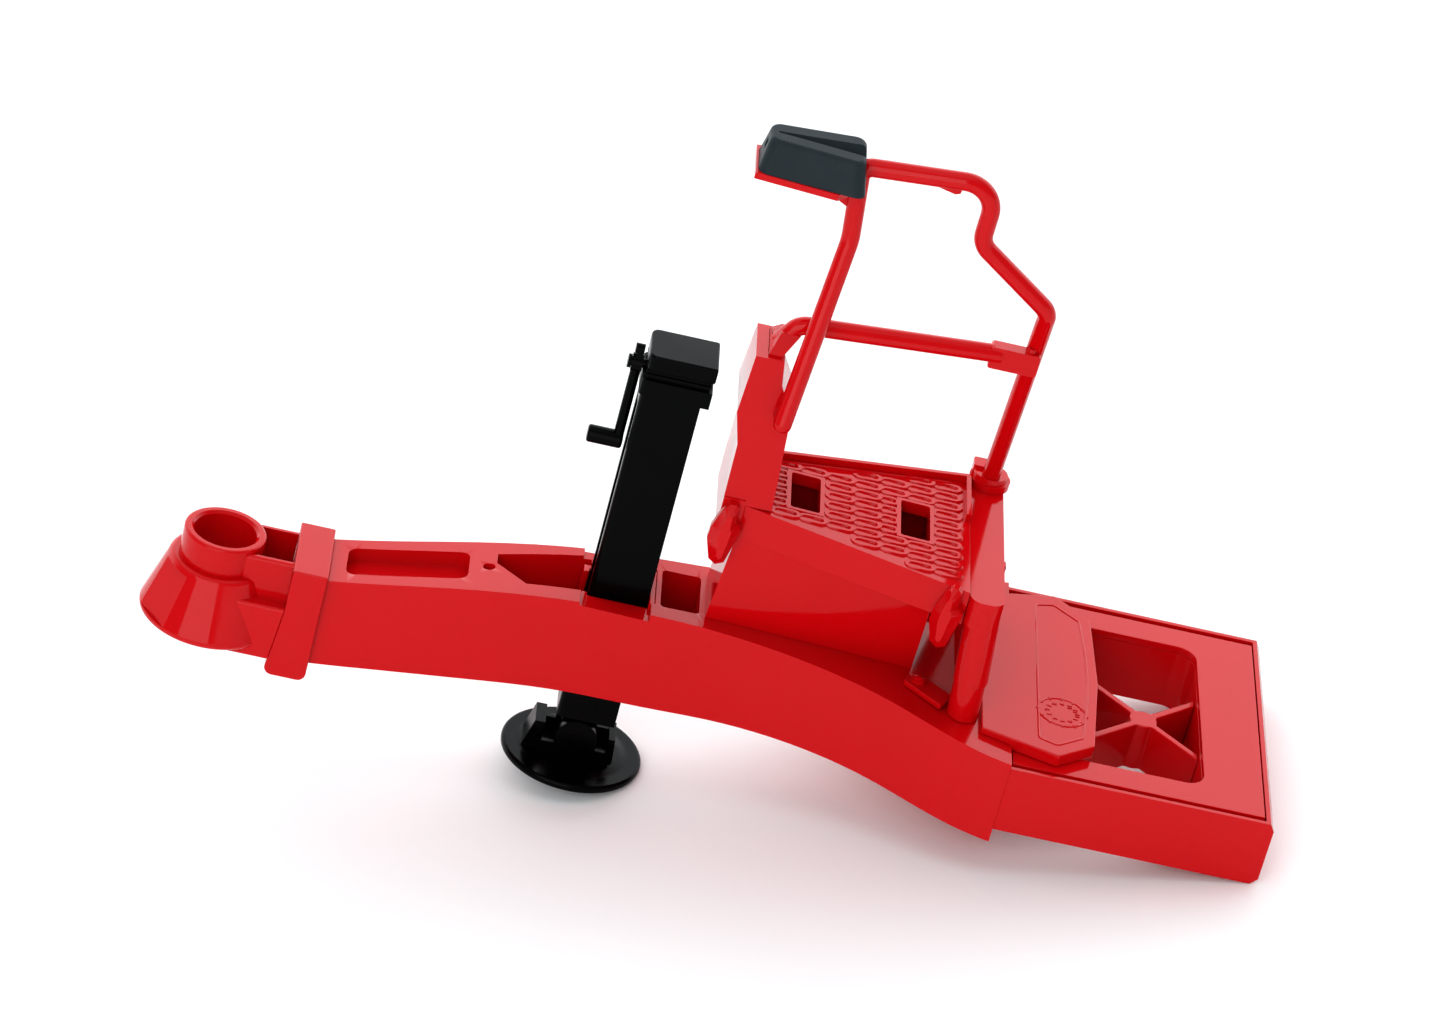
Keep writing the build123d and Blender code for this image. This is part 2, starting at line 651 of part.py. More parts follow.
def make_crank():
    face = collar_front() - crank_gap
    z, middle = crank_z, face - crank_arm_radius
    tip = z - crank_arm_length
    hub = rod((face - crank_hub_long, 0, z), (face, 0, z), crank_hub_radius)
    arm = rod((middle, 0, z), (middle, 0, tip), crank_arm_radius)
    heel = block(face - 1.5, face - 0.3, -0.9, 0.9, z, z + 2.8)
    knob = rod((face - crank_hub_long + 0.1, 0, z + 2.8), (face - 0.2, 0, z + 2.8), 0.9)
    grip = rod((face, 0, tip), (face - grip_length, 0, tip), grip_radius)
    grip = fillet(grip.edges().filter_by(GeomType.CIRCLE), 0.5)
    body = hub + arm + heel + knob + grip
    return single(body - rod((face - 10, 0, z), (face + 2, 0, z), pin_radius + pin_clear))


def make_foot_pin():
    ears = tang_wide / 2 + ear_clear + ear_thick
    pin = rod((foot_x, -ears, foot_axle_z), (foot_x, ears, foot_axle_z), foot_axle_radius)
    return pin


def make_foot_plate():
    disc = post(foot_x, 0, foot_bottom, foot_bottom + foot_thick, foot_radius)
    disc = fillet(disc.edges().filter_by(GeomType.CIRCLE), 0.6)
    dome = Solid.make_cone(10.6, 8.0, 0.5, Plane((foot_x, 0, foot_bottom + foot_thick - 0.02)))
    body = disc + dome
    inner = tang_wide / 2 + ear_clear
    z0 = foot_bottom + foot_thick
    for side in (1, -1):
        y0, y1 = sorted((side * inner, side * (inner + ear_thick)))
        ear = block(foot_x - ear_radius, foot_x + ear_radius, y0, y1, z0 - 0.2, foot_axle_z)
        ear += rod((foot_x, y0, foot_axle_z), (foot_x, y1, foot_axle_z), ear_radius)
        body += ear
        rib = block(foot_x - ear_radius - 2.9, foot_x + ear_radius + 2.9, *sorted((side * 3.7, side * 4.6)),
                    z0 - 0.2, z0 + 2.9)
        body += rib
    for x0, x1, lean, tall in ((-9.4, -5.9, 1.6, 5.8), (5.9, 7.5, -0.4, 5.0)):
        prong = prism_y([(foot_x + x0, z0 - 0.2), (foot_x + x1, z0 - 0.2), (foot_x + x1 + min(lean, 0), z0 + tall),
                         (foot_x + x0 + max(lean, 0), z0 + tall)], -3.1, 3.1)
        body += prong
    body -= rod((foot_x, -12, foot_axle_z), (foot_x, 12, foot_axle_z), foot_axle_radius + pin_clear)
    return single(body)


def make_all():
    pieces = {
        "hitch_head": make_hitch_head(),
        "neck_band": make_neck_band(),
        "beam": make_beam(),
        "jack_guide": make_jack_guide(),
        "tongue_plate": make_tongue_plate(),
        "locating_tab": make_locating_tab(),
        "rear_frame": make_rear_frame(),
        "frame_plate": make_frame_plate(),
        "cross_brace": make_cross_brace(),
        "step_box": make_step_box(),
        "deck": make_deck(),
        "front_ladder_clip": make_ladder_clip(clip_front_x, panel_low_half, 0),
        "rear_ladder_clip": make_ladder_clip(clip_rear_x, deck_half(clip_rear_x), deck_flare()),
        "front_panel": make_front_panel(),
        "panel_boss": make_panel_boss(),
        "bolster": make_bolster(),
        "near_post_stub": make_post_stub(-1),
        "far_post_stub": make_post_stub(1),
        "near_base_tab": make_base_tab(-1),
        "far_base_tab": make_base_tab(1),
        "near_base_rivet": make_base_rivet(-1),
        "far_base_rivet": make_base_rivet(1),
        "rail_collar": make_rail_collar(),
        "main_rail": make_main_rail(),
        "mid_rail": make_mid_rail(),
        "saddle_plate": make_saddle_plate(),
        "hose_saddle": make_hose_saddle(),
        "jack_leg": make_jack_leg(),
        "jack_collar": make_jack_collar(),
        "jack_cap": make_jack_cap(),
        "crank_pin": make_crank_pin(),
        "crank": make_crank(),
        "foot_pin": make_foot_pin(),
        "foot_plate": make_foot_plate(),
    }
    return pieces


def rest_pitch():
    rise = frame_bottom - foot_bottom
    run = (frame_end - 1.3) - (foot_x + foot_radius - 0.6)
    return math.degrees(math.atan2(rise, run))


def rest(pieces):
    turned = {name: Rot(0, rest_pitch(), 0) * solid for name, solid in pieces.items()}
    low = [s.bounding_box().min for s in turned.values()]
    high = [s.bounding_box().max for s in turned.values()]
    x = (min(p.X for p in low) + max(p.X for p in high)) / 2
    y = (min(p.Y for p in low) + max(p.Y for p in high)) / 2
    z = min(p.Z for p in low)
    shift = Pos(-x, -y, -z)
    return {name: shift * solid for name, solid in turned.items()}, (-x, -y, -z)


if __name__ == "__main__":
    placed, shift = rest(make_all())
    for name, solid in placed.items():
        export_step(solid, f"parts/{name}.step")
    print("pitch", round(rest_pitch(), 4), "shift", [round(v, 4) for v in shift])
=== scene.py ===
import json
import math

import bmesh
import bpy
from mathutils import Matrix, Vector


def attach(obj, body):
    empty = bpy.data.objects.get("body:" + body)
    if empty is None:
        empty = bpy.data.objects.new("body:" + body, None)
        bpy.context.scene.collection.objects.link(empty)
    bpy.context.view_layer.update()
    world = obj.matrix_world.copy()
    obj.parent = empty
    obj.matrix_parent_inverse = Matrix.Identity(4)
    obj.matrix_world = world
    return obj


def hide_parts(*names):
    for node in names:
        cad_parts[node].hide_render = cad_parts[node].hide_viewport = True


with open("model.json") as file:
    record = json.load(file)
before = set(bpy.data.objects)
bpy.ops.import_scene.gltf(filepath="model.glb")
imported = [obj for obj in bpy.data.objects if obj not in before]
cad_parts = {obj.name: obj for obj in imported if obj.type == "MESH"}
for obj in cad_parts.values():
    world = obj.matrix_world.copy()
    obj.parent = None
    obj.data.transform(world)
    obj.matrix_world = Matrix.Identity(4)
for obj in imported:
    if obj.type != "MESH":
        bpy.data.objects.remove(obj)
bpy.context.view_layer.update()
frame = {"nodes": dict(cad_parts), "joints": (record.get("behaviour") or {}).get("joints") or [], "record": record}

print("frame loaded:", len(frame["nodes"]), "nodes")

mm = 0.001

# The drawbar is drawn level in millimetres, x rearwards from the hitch eye and z up along the jack.
# The jack's slide and the foot's axle in the record say how it is pitched and where it stands.
joints = {joint["name"]: joint for joint in frame["joints"]}
up = Vector(joints["jack_slide"]["axis"]).normalized()
across = Vector((0, 1, 0))
aft = across.cross(up)
axleHome = Vector((69.3, 0, -25.0)) * mm  # the foot's axle in the level drawing
turn = Matrix((aft, across, up)).transposed()
level = Matrix.Translation(Vector(joints["foot_tilt"]["pos_m"]) - turn @ axleHome) @ turn.to_4x4()


def fromHex(code):
    parts = [int(code[i:i + 2], 16) / 255 for i in (1, 3, 5)]
    linear = [p / 12.92 if p <= 0.04045 else ((p + 0.055) / 1.055) ** 2.4 for p in parts]
    return (*linear, 1.0)


def addNode(tree, kind, values=None, links=None, **settings):
    node = tree.nodes.new(kind)
    for name, value in settings.items():
        setattr(node, name, value)
    for key, value in (values or {}).items():
        node.inputs[key].default_value = value
    for key, source in (links or {}).items():
        tree.links.new(source, node.inputs[key])
    return node


def output(node, name=0):
    return node.outputs[name]


# Finishes. Pattern sizes are in millimetres, bump heights in microns, and base and flow are the two shades
# the pigment drifts between. Grain this fine is drawn coarser than on a real mould, so that it shows.
finishes = {
    "glossMouldedAbs": {
        "base": "#C0060F", "flow": "#C80A13", "flowMm": 26,
        "roughLow": 0.06, "roughHigh": 0.12, "sheen": 0.22,
        "peelMm": 1.1, "peelMicrons": 1.2, "grainMm": 0.22, "grainMicrons": 0.2, "ior": 1.53},
    "satinMouldedAbs": {
        "base": "#010102", "flow": "#040405", "flowMm": 14,
        "roughLow": 0.18, "roughHigh": 0.28, "sheen": 0.07,
        "peelMm": 0.8, "peelMicrons": 1.6, "grainMm": 0.25, "grainMicrons": 1.5, "ior": 1.53},
    "sparkErodedAbs": {
        "base": "#2C3337", "flow": "#343B3F", "flowMm": 12,
        "roughLow": 0.26, "roughHigh": 0.38, "sheen": 0.04,
        "peelMm": 0.7, "peelMicrons": 1.8, "grainMm": 0.22, "grainMicrons": 2.5, "ior": 1.53},
}


# Moulded plastic: pigment that drifts where the melt flowed, a faint orange peel and a finer mould grain.
def mouldedPlastic(name, finish):
    material = bpy.data.materials.new(name)
    material.use_nodes = True
    tree = material.node_tree
    tree.nodes.clear()
    coords = addNode(tree, "ShaderNodeTexCoord")
    spot = output(coords, "Object")
    flowSize, smearSize = finish["flowMm"] * mm, finish["flowMm"] * 0.3 * mm
    drift = addNode(tree, "ShaderNodeTexNoise",
                    {"Scale": 1 / flowSize, "Detail": 3, "Roughness": 0.45, "Distortion": 1.2},
                    {"Vector": spot})
    tone = addNode(tree, "ShaderNodeMix", {6: fromHex(finish["base"]), 7: fromHex(finish["flow"])},
                   {0: output(drift)}, data_type="RGBA")
    smear = addNode(tree, "ShaderNodeTexNoise", {"Scale": 1 / smearSize, "Detail": 4}, {"Vector": spot})
    rough = addNode(tree, "ShaderNodeMapRange",
                    {"From Min": 0.3, "From Max": 0.7,
                     "To Min": finish["roughLow"], "To Max": finish["roughHigh"]},
                    {"Value": output(smear)})
    peel = addNode(tree, "ShaderNodeTexNoise", {"Scale": 1 / (finish["peelMm"] * mm), "Detail": 2},
                   {"Vector": spot})
    grain = addNode(tree, "ShaderNodeTexNoise", {"Scale": 1 / (finish["grainMm"] * mm), "Detail": 1},
                    {"Vector": spot})
    micron = mm * mm
    peelBump = addNode(tree, "ShaderNodeBump", {"Strength": 1.0, "Distance": finish["peelMicrons"] * micron},
                       {"Height": output(peel)})
    grainBump = addNode(tree, "ShaderNodeBump", {"Strength": 1.0, "Distance": finish["grainMicrons"] * micron},
                        {"Height": output(grain), "Normal": output(peelBump)})
    shader = addNode(tree, "ShaderNodeBsdfPrincipled",
                     {"IOR": finish["ior"], "Specular IOR Level": finish["sheen"]},
                     {"Base Color": output(tone, 2), "Roughness": output(rough), "Normal": output(grainBump)})
    addNode(tree, "ShaderNodeOutputMaterial", links={"Surface": output(shader)})
    return material


# Gloss red gives hard bright edges and clear soft reflections, satin black only broad dull ones,
# and the grey block a fine even grain that hides reflections.
glossRed = mouldedPlastic("glossMouldedAbsRed", finishes["glossMouldedAbs"])
satinBlack = mouldedPlastic("satinMouldedAbsBlack", finishes["satinMouldedAbs"])
grainGrey = mouldedPlastic("sparkErodedAbsGrey", finishes["sparkErodedAbs"])
finishOf = {"red_gloss": glossRed, "black_satin": satinBlack, "grey_satin": grainGrey}
print("finishes made:", len(finishOf))

slotOf = {part["node"]: part["material_slot"] for part in frame["record"]["subparts"]}
bodyOf = {node: body for body, nodes in frame["record"]["behaviour"]["bodies"].items() for node in nodes}


def dress(piece, slotName):
    piece.data.materials.clear()
    piece.data.materials.append(finishOf[slotName])


def bakeModifiers(piece):
    plain = bpy.data.meshes.new_from_object(piece.evaluated_get(bpy.context.evaluated_depsgraph_get()))
    piece.modifiers.clear()
    piece.data = plain


def newPiece(name, mesh):
    piece = bpy.data.objects.new(name, mesh)
    bpy.context.scene.collection.objects.link(piece)
    return piece


def smooth(mesh, degrees):
    work = bmesh.new()
    work.from_mesh(mesh)
    for face in work.faces:
        face.smooth = True
    for edge in work.edges:
        edge.smooth = edge.calc_face_angle(0) < math.radians(degrees)
    work.to_mesh(mesh)
    work.free()


# Turned, swept and filleted pieces are smooth as they come, so they only get their finish.
smoothPieces = ["hitch_head", "main_rail", "crank_pin", "crank", "foot_pin", "hose_saddle", "near_base_rivet",
                "far_base_rivet"]


def finishPiece(node):
    piece = frame["nodes"][node]
    if not piece.material_slots:
        piece.data.materials.append(finishOf[slotOf[node]])
    for socket in piece.material_slots:
        socket.material = finishOf[slotOf[node]]


for node in smoothPieces:
    finishPiece(node)
print("smooth pieces:", len(smoothPieces))

# Edge radii in millimetres for the moulded pieces with flat faces.
edgeRounds = {
    "neck_band": 0.3, "beam": 0.35, "jack_guide": 0.2, "tongue_plate": 0.25,
    "locating_tab": 0.25, "rear_frame": 0.3, "frame_plate": 0.15, "cross_brace": 0.3, "step_box": 0.3,
    "deck": 0.22, "front_ladder_clip": 0.3, "rear_ladder_clip": 0.3, "front_panel": 0.35, "panel_boss": 0.2,
    "bolster": 0.35, "near_post_stub": 0.15, "far_post_stub": 0.15, "near_base_tab": 0.25,
    "far_base_tab": 0.25, "rail_collar": 0.3, "mid_rail": 0.3, "saddle_plate": 0.25, "jack_leg": 0.25,
    "jack_collar": 0.25, "jack_cap": 0.4, "foot_plate": 0.15}
rounding = {"mergeMm": 0.002, "flatDegrees": 0.05, "segments": 2, "bevelFromDegrees": 32, "smoothToDegrees": 46}


def mergedMesh(node):
    mesh = frame["nodes"][node].data.copy()
    mesh.materials.clear()
    mesh.name = node + "Rounded"
    work = bmesh.new()
    work.from_mesh(mesh)
    bmesh.ops.remove_doubles(work, verts=work.verts, dist=rounding["mergeMm"] * mm)
    bmesh.ops.dissolve_limit(work, angle_limit=math.radians(rounding["flatDegrees"]), verts=work.verts,
                             edges=work.edges)
    work.to_mesh(mesh)
    work.free()
    return mesh


def evenNormals(piece):
    modifier = piece.modifiers.new("normals", "WEIGHTED_NORMAL")
    modifier.mode = "FACE_AREA"
    modifier.keep_sharp = True
    bakeModifiers(piece)


def roundedCopy(node, radius):
    piece = newPiece(node + "Rounded", mergedMesh(node))
    bevel = piece.modifiers.new("edges", "BEVEL")
    bevel.width = radius * mm
    bevel.segments = rounding["segments"]
    bevel.limit_method = "ANGLE"
    bevel.angle_limit = math.radians(rounding["bevelFromDegrees"])
    bevel.miter_outer = "MITER_ARC"
    bevel.use_clamp_overlap = True
    bakeModifiers(piece)
    smooth(piece.data, rounding["smoothToDegrees"])
    evenNormals(piece)
    dress(piece, slotOf[node])
    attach(piece, bodyOf[node])
    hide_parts(node)


for node, radius in edgeRounds.items():
    roundedCopy(node, radius)
print("rounded pieces:", len(edgeRounds))


# Geometry Nodes helpers: a group with named inputs, and a modifier turned into a plain mesh.
detailSmoothDegrees = 40


def newGroup(name, inputs):
    group = bpy.data.node_groups.new(name, "GeometryNodeTree")
    group.interface.new_socket("Geometry", in_out="INPUT", socket_type="NodeSocketGeometry")
    for label, kind in inputs.items():
        group.interface.new_socket(label, in_out="INPUT", socket_type=kind)
    group.interface.new_socket("Geometry", in_out="OUTPUT", socket_type="NodeSocketGeometry")
    return group


def growPiece(name, mesh, group, values):
    piece = newPiece(name, mesh)
    modifier = piece.modifiers.new("nodes", "NODES")
    modifier.node_group = group
    for item in group.interface.items_tree:
        if item.in_out == "INPUT" and item.name in values:
            modifier[item.identifier] = values[item.name]
    bakeModifiers(piece)
    return piece


def settle(piece, body):
    piece.data.transform(level)
    smooth(piece.data, detailSmoothDegrees)
    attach(piece, body)


# The deck's sloping top, and its tread of raised loops in columns, shortened beside the two square holes.
deck = {"frontX": 87, "rearX": 128, "frontZ": 32.6, "rearZ": 30.95, "frontHalf": 9.2, "rearHalf": 19.4}
tread = {
    "columns": [94.3, 99.2, 104.1, 109.0, 113.9, 118.8, 123.7], "length": 4.75, "width": 3.05,
    "rowPitch": 3.28, "bar": 0.54, "sink": 0.16, "sideMargin": 0.8, "overEdge": 0.6, "shortest": 1.6,
    "behindX": 91.9, "rimEdges": [(94.4, 101.2), (114.5, 121.3)], "rimHalf": 6.7, "rimOverlap": 0.5,
    "endRoundness": 0.46}


def deckAt(x, frontValue, rearValue):
    return frontValue + (rearValue - frontValue) * (x - deck["frontX"]) / (deck["rearX"] - deck["frontX"])


# A loop that would run over a hole's rim keeps only its longer free end.
def clearOfRims(low, high, y):
    if abs(y) < tread["rimHalf"] + tread["width"] / 2 - tread["rimOverlap"]:
        for rimLow, rimHigh in tread["rimEdges"]:
            if low < rimHigh and high > rimLow:
                if rimLow - low > high - rimHigh:
                    high = min(high, rimLow)
                else:
                    low = max(low, rimHigh)
    return low, high


def treadSpots():
    spots = []
    for column in tread["columns"]:
        front = column - tread["length"] / 2
        reach = deckAt(front, deck["frontHalf"], deck["rearHalf"]) - tread["sideMargin"]
        rows = int(reach / tread["rowPitch"]) + 2
        for row in range(-rows, rows):
            y = (row + 0.5) * tread["rowPitch"]
            if abs(y) > reach - tread["width"] / 2 + tread["overEdge"]:
                continue
            low, high = clearOfRims(front, front + tread["length"], y)
            if high - low > tread["shortest"] and low > tread["behindX"]:
                spots.append(((low + high) / 2, y, high - low))
    return spots


def treadGroup():
    group = newGroup("treadLoops", {"Bar": "NodeSocketFloat", "Width": "NodeSocketFloat",
                                    "Full": "NodeSocketFloat", "Finish": "NodeSocketMaterial"})
    entry = addNode(group, "NodeGroupInput")
    size = addNode(group, "GeometryNodeInputNamedAttribute", {"Name": "loopLength"}, data_type="FLOAT")
    loop = addNode(group, "GeometryNodeCurvePrimitiveQuadrilateral", {},
                   {"Width": output(entry, "Full"), "Height": output(entry, "Width")})
    half = addNode(group, "ShaderNodeMath", {1: tread["endRoundness"]}, {0: output(entry, "Width")},
                   operation="MULTIPLY")
    rounded = addNode(group, "GeometryNodeFilletCurve", {"Count": 5},
                      {"Curve": output(loop), "Radius": output(half)}, mode="POLY")
    profile = addNode(group, "GeometryNodeCurvePrimitiveCircle", {"Resolution": 6},
                      {"Radius": output(entry, "Bar")})
    bar = addNode(group, "GeometryNodeCurveToMesh", {},
                  {"Curve": output(rounded), "Profile Curve": output(profile)})
    stretch = addNode(group, "ShaderNodeMath", {}, {0: output(size, "Attribute"), 1: output(entry, "Full")},
                      operation="DIVIDE")
    scale = addNode(group, "ShaderNodeCombineXYZ", {"Y": 1.0, "Z": 1.0}, {"X": output(stretch)})
    spread = addNode(group, "GeometryNodeInstanceOnPoints", {},
                     {"Points": output(entry, "Geometry"), "Instance": output(bar), "Scale": output(scale)})
    real = addNode(group, "GeometryNodeRealizeInstances", links={"Geometry": output(spread)})
    painted = addNode(group, "GeometryNodeSetMaterial", links={"Geometry": output(real),
                                                              "Material": output(entry, "Finish")})
    addNode(group, "NodeGroupOutput", links={"Geometry": output(painted)})
    return group


def makeTread():
    spots = treadSpots()
    points = [(x, y, deckAt(x, deck["frontZ"], deck["rearZ"]) - tread["sink"]) for x, y, long in spots]
    mesh = bpy.data.meshes.new("treadSpots")
    mesh.from_pydata([(x * mm, y * mm, z * mm) for x, y, z in points], [], [])
    lengths = mesh.attributes.new("loopLength", "FLOAT", "POINT")
    lengths.data.foreach_set("value", [long * mm for x, y, long in spots])
    values = {"Bar": tread["bar"] * mm, "Width": (tread["width"] - 2 * tread["bar"]) * mm,
              "Full": (tread["length"] - 2 * tread["bar"]) * mm, "Finish": glossRed}
    settle(growPiece("deckTread", mesh, treadGroup(), values), "drawbar")
    return len(spots)


print("tread loops:", makeTread())


# Raised lines: a bar with a round top that follows a path of straight runs, eased at the corners.
raisedLines = {
    "tongueBorder": {"bar": 0.3, "sink": 0.12, "closed": True, "path": [
        (146.6, 22.4, 6.9), (149.9, 23.6, 6.9), (154.6, 19.6, 6.9), (155.6, 8, 6.9), (155.8, 0, 6.9),
        (155.6, -8, 6.9), (154.6, -19.6, 6.9), (149.9, -23.6, 6.9), (146.6, -22.4, 6.9)]},
    "deckFarRidge": {"bar": 0.35, "sink": 0.1, "closed": False, "path": [
        (93.0, 9.2, 32.36), (124.5, 17.0, 31.09)]}}
cornerPerBar = 3.0


def lineGroup():
    group = newGroup("raisedLine", {"Bar": "NodeSocketFloat", "Finish": "NodeSocketMaterial"})
    entry = addNode(group, "NodeGroupInput")
    path = addNode(group, "GeometryNodeMeshToCurve", links={"Mesh": output(entry, "Geometry")})
    corner = addNode(group, "ShaderNodeMath", {1: cornerPerBar}, {0: output(entry, "Bar")},
                     operation="MULTIPLY")
    eased = addNode(group, "GeometryNodeFilletCurve", {"Count": 4},
                    {"Curve": output(path), "Radius": output(corner)}, mode="POLY")
    profile = addNode(group, "GeometryNodeCurvePrimitiveCircle", {"Resolution": 10},
                      {"Radius": output(entry, "Bar")})
    bar = addNode(group, "GeometryNodeCurveToMesh", {"Fill Caps": True},
                  {"Curve": output(eased), "Profile Curve": output(profile)})
    real = addNode(group, "GeometryNodeRealizeInstances", links={"Geometry": output(bar)})
    painted = addNode(group, "GeometryNodeSetMaterial", links={"Geometry": output(real),
                                                              "Material": output(entry, "Finish")})
    addNode(group, "NodeGroupOutput", links={"Geometry": output(painted)})
    return group


def makeRaisedLines():
    group = lineGroup()
    for name, line in raisedLines.items():
        count = len(line["path"])
        mesh = bpy.data.meshes.new(name)
        runs = [(i, (i + 1) % count) for i in range(count if line["closed"] else count - 1)]
        mesh.from_pydata([(x * mm, y * mm, (z - line["sink"]) * mm) for x, y, z in line["path"]], runs, [])
        values = {"Bar": line["bar"] * mm, "Finish": glossRed}
        settle(growPiece(name, mesh, group, values), "drawbar")


makeRaisedLines()
print("raised lines:", len(raisedLines))


# Date dial on the tongue: a ring, twelve ticks and the numbers 1 to 12, as moulders mark the month.
dial = {"at": (150.9, -12.5, 6.9), "radius": 4.4, "bar": 0.16, "tick": 0.8, "months": 12, "numberSize": 1.25,
        "numberRise": 0.14, "numberAt": 2.75}


def dialGroup():
    group = newGroup("dateDial", {"Radius": "NodeSocketFloat", "Bar": "NodeSocketFloat",
                                  "Tick": "NodeSocketFloat", "Finish": "NodeSocketMaterial"})
    entry = addNode(group, "NodeGroupInput")
    spot = addNode(group, "GeometryNodeInputPosition")
    bars = addNode(group, "GeometryNodeCurvePrimitiveCircle", {"Resolution": 8},
                   {"Radius": output(entry, "Bar")})
    circle = addNode(group, "GeometryNodeCurvePrimitiveCircle", {"Resolution": 72},
                     {"Radius": output(entry, "Radius")})
    ring = addNode(group, "GeometryNodeCurveToMesh", {},
                   {"Curve": output(circle), "Profile Curve": output(bars)})
    stations = addNode(group, "GeometryNodeMeshCircle", {"Vertices": dial["months"]},
                       {"Radius": output(entry, "Radius")})
    tickEnd = addNode(group, "ShaderNodeCombineXYZ", links={"X": output(entry, "Tick")})
    tickStart = addNode(group, "ShaderNodeVectorMath", {1: (-1, 0, 0)}, {0: output(tickEnd)},
                        operation="MULTIPLY")
    tickLine = addNode(group, "GeometryNodeCurvePrimitiveLine",
                       links={"Start": output(tickStart), "End": output(tickEnd)})
    tick = addNode(group, "GeometryNodeCurveToMesh", {"Fill Caps": True},
                   {"Curve": output(tickLine), "Profile Curve": output(bars)})
    facing = addNode(group, "FunctionNodeAlignRotationToVector", {}, {"Vector": output(spot)}, axis="X")
    ticks = addNode(group, "GeometryNodeInstanceOnPoints", {},
                    {"Points": output(stations), "Instance": output(tick), "Rotation": output(facing)})
    joined = addNode(group, "GeometryNodeJoinGeometry")
    for source in (ring, ticks):
        group.links.new(output(source), joined.inputs[0])
    real = addNode(group, "GeometryNodeRealizeInstances", links={"Geometry": output(joined)})
    painted = addNode(group, "GeometryNodeSetMaterial", links={"Geometry": output(real),
                                                              "Material": output(entry, "Finish")})
    addNode(group, "NodeGroupOutput", links={"Geometry": output(painted)})
    return group


def numberMesh(number):
    curve = bpy.data.curves.new("monthNumber", "FONT")
    curve.body = str(number)
    curve.size = dial["numberSize"] * mm
    curve.extrude = dial["numberRise"] * mm
    curve.resolution_u = 3
    curve.align_x = "CENTER"
    curve.align_y = "CENTER"
    letter = newPiece("monthNumber", curve)
    shape = bpy.data.meshes.new_from_object(letter.evaluated_get(bpy.context.evaluated_depsgraph_get()))
    bpy.data.objects.remove(letter)
    return shape


def makeDial():
    values = {"Radius": dial["radius"] * mm, "Bar": dial["bar"] * mm, "Tick": dial["tick"] * mm / 2,
              "Finish": glossRed}
    piece = growPiece("dateDial", bpy.data.meshes.new("dateDial"), dialGroup(), values)
    mesh = piece.data
    middle = Vector(dial["at"]) * mm
    mesh.transform(Matrix.Translation(middle))
    upright = Matrix.Rotation(math.radians(-90), 4, "Z")
    work = bmesh.new()
    work.from_mesh(mesh)
    for number in range(1, dial["months"] + 1):
        angle = math.radians(90 - number * 360 / dial["months"])
        out = Vector((math.sin(angle), -math.cos(angle), 0)) * dial["numberAt"] * mm
        shape = numberMesh(number)
        shape.transform(Matrix.Translation(middle + out) @ upright)
        work.from_mesh(shape)
    bmesh.ops.remove_doubles(work, verts=work.verts, dist=0.001 * mm)
    bmesh.ops.recalc_face_normals(work, faces=work.faces)
    work.to_mesh(mesh)
    work.free()
    dress(piece, "red_gloss")
    settle(piece, "drawbar")
    return len(mesh.polygons)


print("dial faces:", makeDial())


# Studio: a pale floor, a bright screen low behind, dim surroundings on the near side and two soft panels.
studio = {
    "floorHexes": ("#F7F9FA", "#FBFCFC"), "floorMetres": 12, "fibreScale": 60, "surroundHex": "#F7FAFC",
    "nearPower": 0.29, "screenPower": 1.78, "ceilingPower": 0.35,
    "panels": {
        "nearKey": {"at": (-0.4, -1.5, 0.7), "aim": (0, 0, 0.04), "size": 1.5, "watts": 14},
        "overhead": {"at": (0.1, 0.3, 1.3), "aim": (0, 0, 0.03), "size": 1.6, "watts": 4}}}


def makeFloor():
    half = studio["floorMetres"] / 2
    mesh = bpy.data.meshes.new("studioFloor")
    corners = [(-half, -half, 0), (half, -half, 0), (half, half, 0), (-half, half, 0)]
    mesh.from_pydata(corners, [], [(0, 1, 2, 3)])
    floor = newPiece("studioFloor", mesh)
    material = bpy.data.materials.new("matteBackdropPaper")  # dull and even, so only soft shadows show on it
    material.use_nodes = True
    tree = material.node_tree
    tree.nodes.clear()
    coords = addNode(tree, "ShaderNodeTexCoord")
    fibre = addNode(tree, "ShaderNodeTexNoise", {"Scale": studio["fibreScale"], "Detail": 4},
                    {"Vector": output(coords, "Object")})
    shades = [fromHex(code) for code in studio["floorHexes"]]
    tone = addNode(tree, "ShaderNodeMix", {6: shades[0], 7: shades[1]}, {0: output(fibre)}, data_type="RGBA")
    shader = addNode(tree, "ShaderNodeBsdfPrincipled", {"Roughness": 0.62}, {"Base Color": output(tone, 2)})
    addNode(tree, "ShaderNodeOutputMaterial", links={"Surface": output(shader)})
    mesh.materials.append(material)
    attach(floor, "jack")


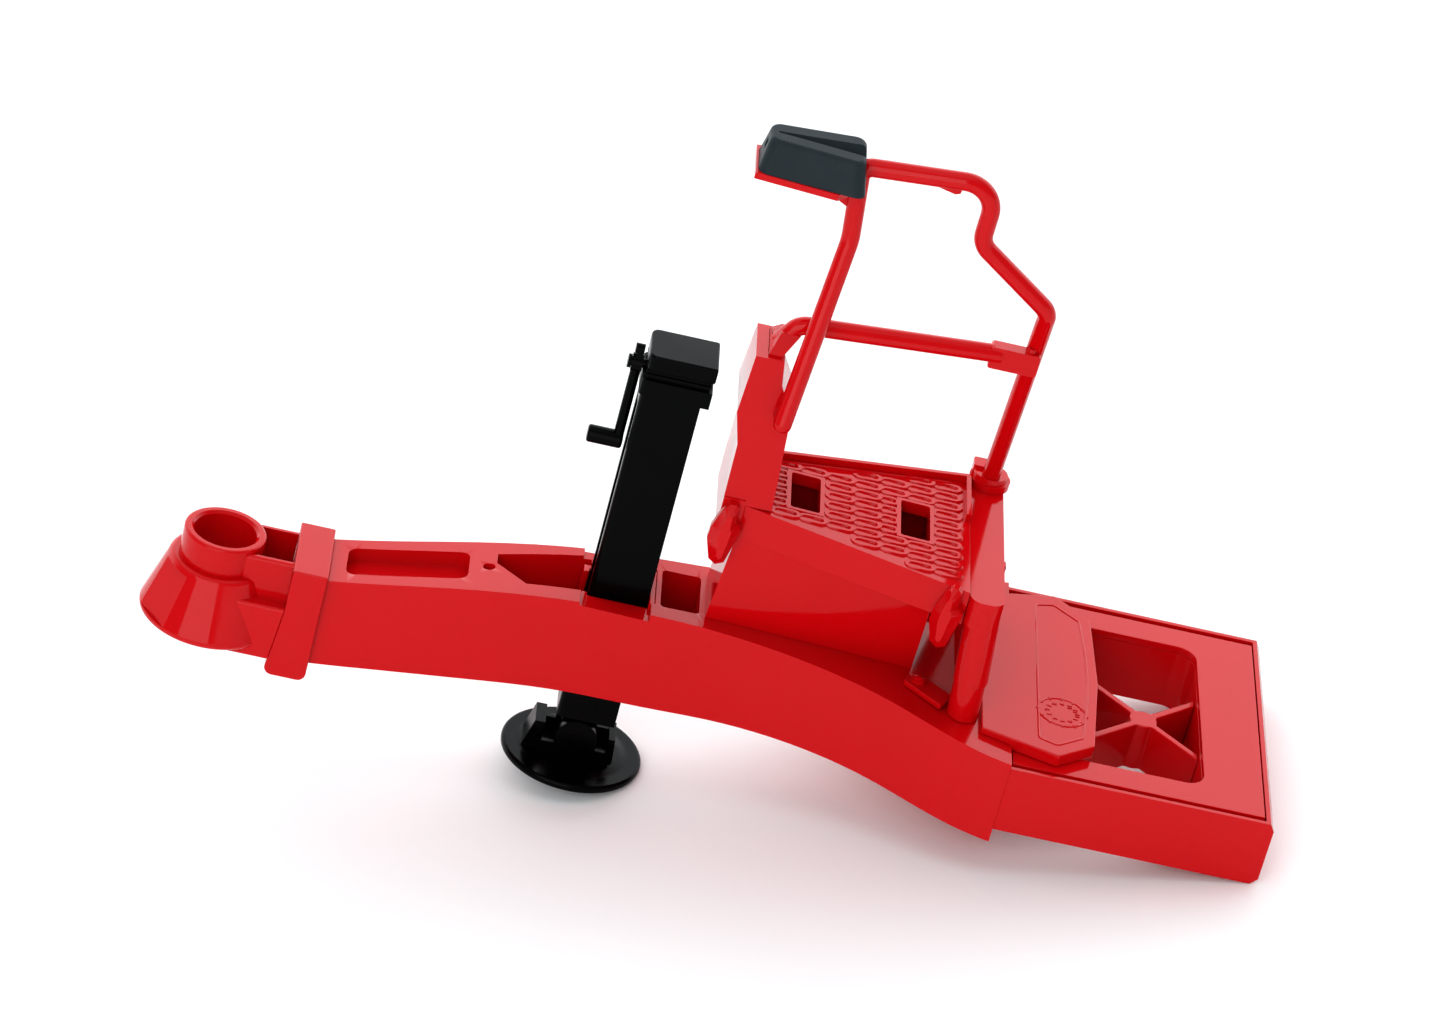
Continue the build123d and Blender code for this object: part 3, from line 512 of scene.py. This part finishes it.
# A value that eases from one level to another as a direction's component passes between two bounds.
def easedRange(tree, source, bounds, levels):
    return addNode(tree, "ShaderNodeMapRange",
                   {"From Min": bounds[0], "From Max": bounds[1], "To Min": levels[0], "To Max": levels[1]},
                   {"Value": source}, interpolation_type="SMOOTHSTEP")


def makeWorld():
    world = bpy.data.worlds.new("whiteSurround")
    bpy.context.scene.world = world
    world.use_nodes = True
    tree = world.node_tree
    tree.nodes.clear()
    coords = addNode(tree, "ShaderNodeTexCoord")
    heading = addNode(tree, "ShaderNodeSeparateXYZ", links={"Vector": output(coords, "Object")})
    near = studio["nearPower"]
    behind = easedRange(tree, output(heading, "Y"), (-0.1, 0.55), (0.0, studio["screenPower"]))
    low = easedRange(tree, output(heading, "Z"), (0.6, 0.8), (1.0, 0.0))
    ceiling = easedRange(tree, output(heading, "Z"), (0.5, 0.9), (near, near + studio["ceilingPower"]))
    power = addNode(tree, "ShaderNodeMath", {}, {0: output(behind), 1: output(low), 2: output(ceiling)},
                    operation="MULTIPLY_ADD")
    glow = addNode(tree, "ShaderNodeBackground", {"Color": fromHex(studio["surroundHex"])},
                   {"Strength": output(power)})
    addNode(tree, "ShaderNodeOutputWorld", links={"Surface": output(glow)})


def makeLights():
    for name, panel in studio["panels"].items():
        light = bpy.data.lights.new(name, "AREA")
        light.size = panel["size"]
        light.energy = panel["watts"]
        lamp = newPiece(name, light)
        lamp.location = panel["at"]
        facing = Vector(panel["aim"]) - Vector(panel["at"])
        lamp.rotation_euler = facing.to_track_quat("-Z", "Y").to_euler()


# Camera: a long lens about a metre away, a little over thirty degrees above the floor.
camera = {"at": (0.01782, -0.97285, 0.63050), "turnDegrees": (59.30, -1.32, 1.69), "lensMm": 159.7,
          "sensorMm": 36}


def makeCamera():
    data = bpy.data.cameras.new("camera")
    data.lens = camera["lensMm"]
    data.sensor_width = camera["sensorMm"]
    data.dof.use_dof = False
    shot = newPiece("camera", data)
    shot.location = camera["at"]
    shot.rotation_euler = [math.radians(angle) for angle in camera["turnDegrees"]]
    bpy.context.scene.camera = shot
    view = bpy.context.scene.view_settings
    view.view_transform = "Standard"
    view.look = "Medium High Contrast"


makeFloor()
makeWorld()
makeLights()
makeCamera()
print("studio made")
